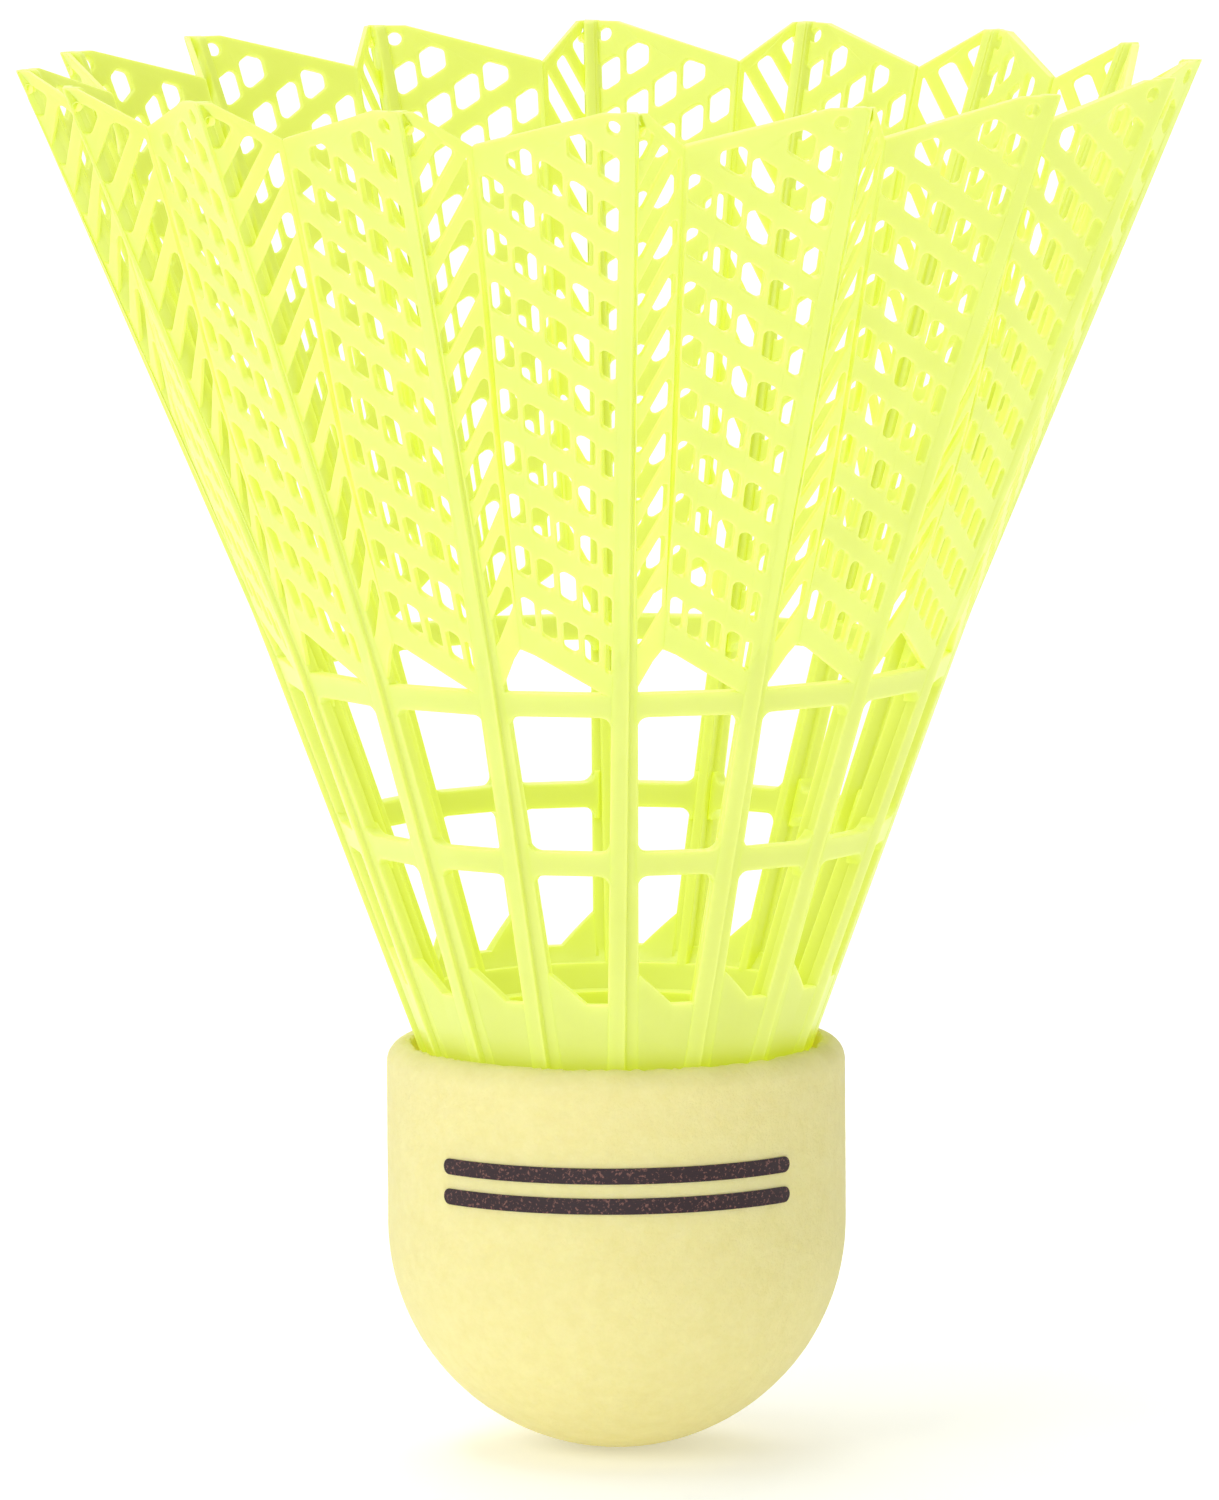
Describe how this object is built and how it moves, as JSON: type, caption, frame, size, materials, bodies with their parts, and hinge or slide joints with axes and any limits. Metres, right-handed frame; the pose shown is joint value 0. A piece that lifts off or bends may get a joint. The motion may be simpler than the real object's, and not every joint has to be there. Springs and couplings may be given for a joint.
{
  "type": "badminton shuttlecock",
  "caption": "Synthetic badminton shuttlecock: a flared, corrugated and pierced nylon skirt glued into a round-nosed foam head.",
  "frame": {"origin": "lowest point of the nose, on the shuttlecock's axis", "axes": "+Z along the axis from the nose to the open mouth of the skirt; the first stem stands 2.5 degrees from -Y towards +X; the rest follow every 22.5 degrees"},
  "size_m": [0.0668, 0.0668, 0.0785],
  "materials": {
    "nylon": "semi-gloss translucent moulded nylon, fluorescent yellow-green",
    "foam": "matt fine-grained moulded foam, pale yellow",
    "ink": "thin pad-printed dark maroon ink",
    "glue": "clear cured adhesive"
  },
  "bodies": {
    "root": {"foam_head": "foam", "printed_stripes": "ink", "glue_film": "glue", "spigot": "nylon", "collar": "nylon", "lower_hoop": "nylon", "upper_hoop": "nylon", "stem_01": "nylon", "wide_panel_01": "nylon", "narrow_panel_01": "nylon", "stem_02": "nylon", "wide_panel_02": "nylon", "narrow_panel_02": "nylon", "stem_03": "nylon", "wide_panel_03": "nylon", "narrow_panel_03": "nylon", "stem_04": "nylon", "wide_panel_04": "nylon", "narrow_panel_04": "nylon", "stem_05": "nylon", "wide_panel_05": "nylon", "narrow_panel_05": "nylon", "stem_06": "nylon", "wide_panel_06": "nylon", "narrow_panel_06": "nylon", "stem_07": "nylon", "wide_panel_07": "nylon", "narrow_panel_07": "nylon", "stem_08": "nylon", "wide_panel_08": "nylon", "narrow_panel_08": "nylon", "stem_09": "nylon", "wide_panel_09": "nylon", "narrow_panel_09": "nylon", "stem_10": "nylon", "wide_panel_10": "nylon", "narrow_panel_10": "nylon", "stem_11": "nylon", "wide_panel_11": "nylon", "narrow_panel_11": "nylon", "stem_12": "nylon", "wide_panel_12": "nylon", "narrow_panel_12": "nylon", "stem_13": "nylon", "wide_panel_13": "nylon", "narrow_panel_13": "nylon", "stem_14": "nylon", "wide_panel_14": "nylon", "narrow_panel_14": "nylon", "stem_15": "nylon", "wide_panel_15": "nylon", "narrow_panel_15": "nylon", "stem_16": "nylon", "wide_panel_16": "nylon", "narrow_panel_16": "nylon"}
  },
  "joints": []
}
